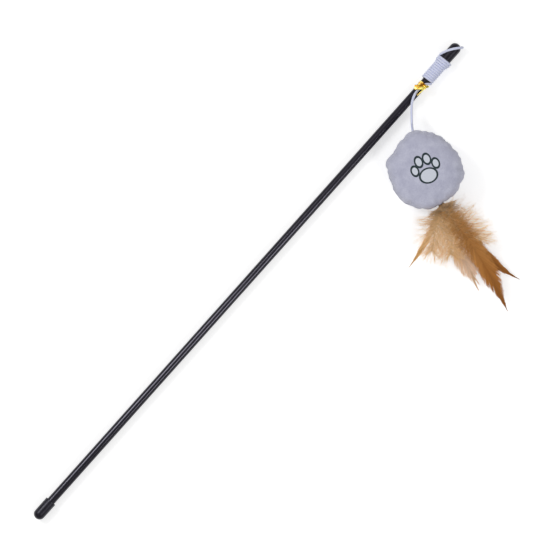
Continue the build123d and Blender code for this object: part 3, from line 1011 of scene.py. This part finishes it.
def feather_piece(name, length_share, width_share, heading, turn, curl, level, kind):
    """One feather: a tapering shaft, down near its root and a vane of barbs, or down all along."""
    chance = random.Random(name)
    plume = kind == "plume"
    length = feather_length * length_share * (plume_shaft_share if plume else 1)
    half_width = feather_width * width_share / 2
    shape = vane_shares[kind]
    strips = Strips()

    def shaft_point(share):
        """Point of the shaft, which turns aside and droops to the table."""
        distance = binding_radius + length * share
        turned = turn / 2 * math.copysign(abs(share) ** curl, share)
        point = feather_root + level_way(heading + turned) * distance
        lift = level * level_height - droop_depth * (max(distance, 0) / droop_reach) ** droop_power
        point.z = max(feather_root.z + lift, floor_height + shaft_clearance)
        return point

    def course(share, hand, lean, reach, bend, lift, climb, segments):
        """Points that leave the shaft at a lean, bend towards the tip and sink from their lift to the table."""
        point = shaft_point(share)
        ahead = (shaft_point(share + 0.01) - shaft_point(share - 0.01)).normalized()
        beside = Vector((-ahead.y, ahead.x, 0))
        points = [point]
        for step in range(1, segments + 1):
            part = step / segments
            angle = math.radians(lean - bend * part) * hand
            point = point + (ahead * math.cos(angle) + beside * math.sin(angle)) * (reach / segments)
            point.z += (lift * (rise_share - sink_share * part) + reach * climb) / segments
            point.z = max(point.z, floor_height + barb_clearance)
            points.append(point)
        return points

    def barb(share, hand, lean, reach, bend, width, lift, segments):
        """A barb, raised or leant further towards the tip where the ball is in its way."""
        for deflection, climb in ball_tries:
            shortened = reach * (1 - climb_loss * climb)
            points = course(share, hand, lean - deflection, shortened, bend, lift, climb, segments)
            if all(clear_of_ball(point) for point in points[1:]):
                break
        else:
            points = points[:1]
        tone = chance.random()
        if len(points) > 1:
            strips.add(points, width, share, tone)
        return points, tone

    def downy(share, hand, reach, spread=0.0):
        """A loose, fine barb with short barbules along both sides."""
        lean = down_lean - down_lean_fall * share + spread + chance.gauss(0, down_lean_spread)
        if share < down_root_share:
            lean += chance.uniform(*down_root_lean)
        points, tone = barb(share, hand, lean, reach * chance.uniform(*down_reach), chance.uniform(*down_bend),
                            down_width, chance.uniform(*down_lift), down_segments)
        for index in range(1, len(points)):
            along = (points[index] - points[index - 1]).normalized()
            beside = Vector((-along.y, along.x, 0))
            place = index / down_segments
            for half in (0.0, 0.5):
                root = points[index - 1].lerp(points[index], half)
                for sign in (-1, 1):
                    tip = root + along * chance.uniform(*barbule_length)
                    tip += beside * sign * chance.uniform(*barbule_spread)
                    tip.z += chance.uniform(*barbule_lift)
                    if clear_of_ball(tip):
                        strips.add([root, tip], barbule_width, share, tone, (place, place))

    for tuft_number in range(tuft_count if plume else 0):
        angle = heading + chance.uniform(*tuft_heading)
        root = feather_root + root_way * chance.uniform(*tuft_place) + UP * (binding_height / 2)
        root += root_side * (chance.uniform(*tuft_side) * binding_radius)
        reach = chance.uniform(*tuft_reach)
        hump = chance.uniform(*tuft_hump)
        tone = chance.random()
        for climb in tuft_climbs:
            tuft = []
            for part in tuft_parts:
                rise = hump * math.sin(3 * part) + reach * climb * part
                tuft.append(root + level_way(angle) * (reach * part) + UP * rise)
            if all(clear_of_ball(point) for point in tuft[1:]):
                strips.add(tuft, tuft_width, tuft_along, tone)
                break

    for loose_number in range(loose_count if plume else 0):
        downy(chance.uniform(*loose_share), chance.choice((-1, 1)), chance.uniform(*loose_reach),
              chance.uniform(*loose_spread))

    spacing = down_spacing if plume else barb_spacing
    count = int(length / spacing)
    clump = {-1: 0.0, 1: 0.0}
    for index in range(count):
        share = 0.01 + 0.99 * index / count
        reach = half_width * between(shape, share)
        for hand in (-1, 1):
            if plume or share < down_share * chance.uniform(*down_end):
                downy(share, hand, reach * (plume_reach_share if plume else vane_down_reach_share))
                continue
            if chance.random() < clump_chance:
                clump[hand] = chance.uniform(*clump_lean)
            lean = barb_lean - barb_lean_fall * share + clump[hand]
            for nearer in range(barb_reach_rounds):
                ends_at = min(share + reach / math.tan(math.radians(lean)) / length, 1)
                reach = (reach + half_width * between(shape, ends_at)) / 2
            barb(share, hand, lean, reach / math.sin(math.radians(lean)) * chance.uniform(*barb_reach),
                 chance.uniform(*barb_bend), spacing * barb_width_share, barb_lift, barb_segments)

    shaft = [shaft_point(step / shaft_steps) for step in range(shaft_steps + 1)]
    for face in (UP, level_way(heading + 90)):
        strips.add(shaft, shaft_diameter, shaft_along, shaft_tone, shaft_across, face)
    return strips.piece(name + "_barbs")


# Each kind's slot, and its material with sRGB colours from root to tip: (share, red, green, blue)
feather_kinds = {
    "hackle": ("hackle", "golden_hackle",
               (0.0, 198, 150, 94), (0.3, 184, 128, 68), (0.6, 162, 102, 40), (0.95, 134, 80, 25)),
    "pale": ("pale_feather", "pale_hackle",
             (0.0, 202, 160, 110), (0.35, 212, 171, 132), (0.8, 225, 191, 163), (1.0, 202, 160, 116)),
    "wisp": ("pale_feather", "golden_wisp",
             (0.0, 208, 168, 118), (0.4, 214, 168, 108), (0.8, 208, 162, 104), (1.0, 192, 144, 88)),
    "plume": ("down", "tan_down",
              (0.0, 176, 146, 114), (0.2, 216, 176, 126), (0.6, 235, 199, 151), (1.0, 230, 190, 136)),
}
feather_materials = {}
for kind, (slot, name, *stops) in feather_kinds.items():
    feather_materials[kind] = feather_material(name, *((share, linear(*colour)) for share, *colour in stops))
for name, shares in feather_shares.items():
    kind = shares[-1]
    wear(feather_piece(name, *shares), feather_materials[kind], "feathers", feather_kinds[kind][0], name)

whipping_line = []
for step in range(whipping_turns * whipping_steps + 1):
    angle = 2 * math.pi * step / whipping_steps
    share = step / (whipping_turns * whipping_steps)
    swell = 1 - whipping_taper * (2 * share - 1) ** 2
    across = root_side * (math.cos(angle) * binding_radius * swell)
    lift = UP * (math.sin(angle) * binding_height / 2 * swell)
    whipping_line.append(feather_root + root_way * ((share - 0.5) * whipping_length) + across + lift)
whipping = tube("whipping", whipping_line, whipping_radius, whipping_sides)
dark_thread = thread_material("dark_whipping", linear(84, 74, 68), linear(138, 122, 108))
wear(whipping, dark_thread, "feathers", "whipping", "feather_binding")

# Floor, camera and light
corners = [(x * floor_reach, y * floor_reach, floor_level) for x, y in ((-1, -1), (1, -1), (1, 1), (-1, 1))]
floor = new_object("studio_floor", corners, [(0, 1, 2, 3)])
paper = Material("white_paper")
rays = paper.add("ShaderNodeLightPath").outputs
mirrored = paper.math("MAXIMUM", rays["Is Glossy Ray"], rays["Is Transmission Ray"])
seen = paper.math("MAXIMUM", rays["Is Camera Ray"], mirrored)
paper.set(Base_Color=(0.8, 0.8, 0.8, 1), Roughness=0.9, Emission_Color=(1, 1, 1, 1))
paper.set(Emission_Strength=paper.math("MULTIPLY", seen, floor_glow))
floor.data.materials.append(paper.data)

camera_data = bpy.data.cameras.new("photo_camera")
camera_data.sensor_width = camera_sensor
camera_data.lens = camera_data.sensor_width * camera_height / photo_width
camera = bpy.data.objects.new("photo_camera", camera_data)
scene.collection.objects.link(camera)
right = level_way(-photo_turn)
above = level_way(90 - photo_turn)
facing_down = Matrix((right, above, UP)).transposed().to_4x4()
camera.matrix_world = Matrix.Translation(photo_centre + UP * camera_height) @ facing_down
scene.camera = camera


def lamp(name, way, distance, length, breadth, power):
    """A soft oblong lamp at a distance from the middle of the wand, facing it."""
    data = bpy.data.lights.new(name, "AREA")
    data.shape = "RECTANGLE"
    data.size = length
    data.size_y = breadth
    data.energy = power
    light = bpy.data.objects.new(name, data)
    facing = way.to_track_quat("Z", "Y").to_matrix().to_4x4()
    light.matrix_world = Matrix.Translation(photo_centre + way.normalized() * distance) @ facing
    scene.collection.objects.link(light)


for name, (way, *measures) in lamps.items():
    lamp(name, Vector(way), *measures)

world = bpy.data.worlds.new("studio")
world.use_nodes = True
world.node_tree.nodes["Background"].inputs["Color"].default_value = (1, 1, 1, 1)
world.node_tree.nodes["Background"].inputs["Strength"].default_value = world_strength
scene.world = world
scene.view_settings.view_transform = "Standard"
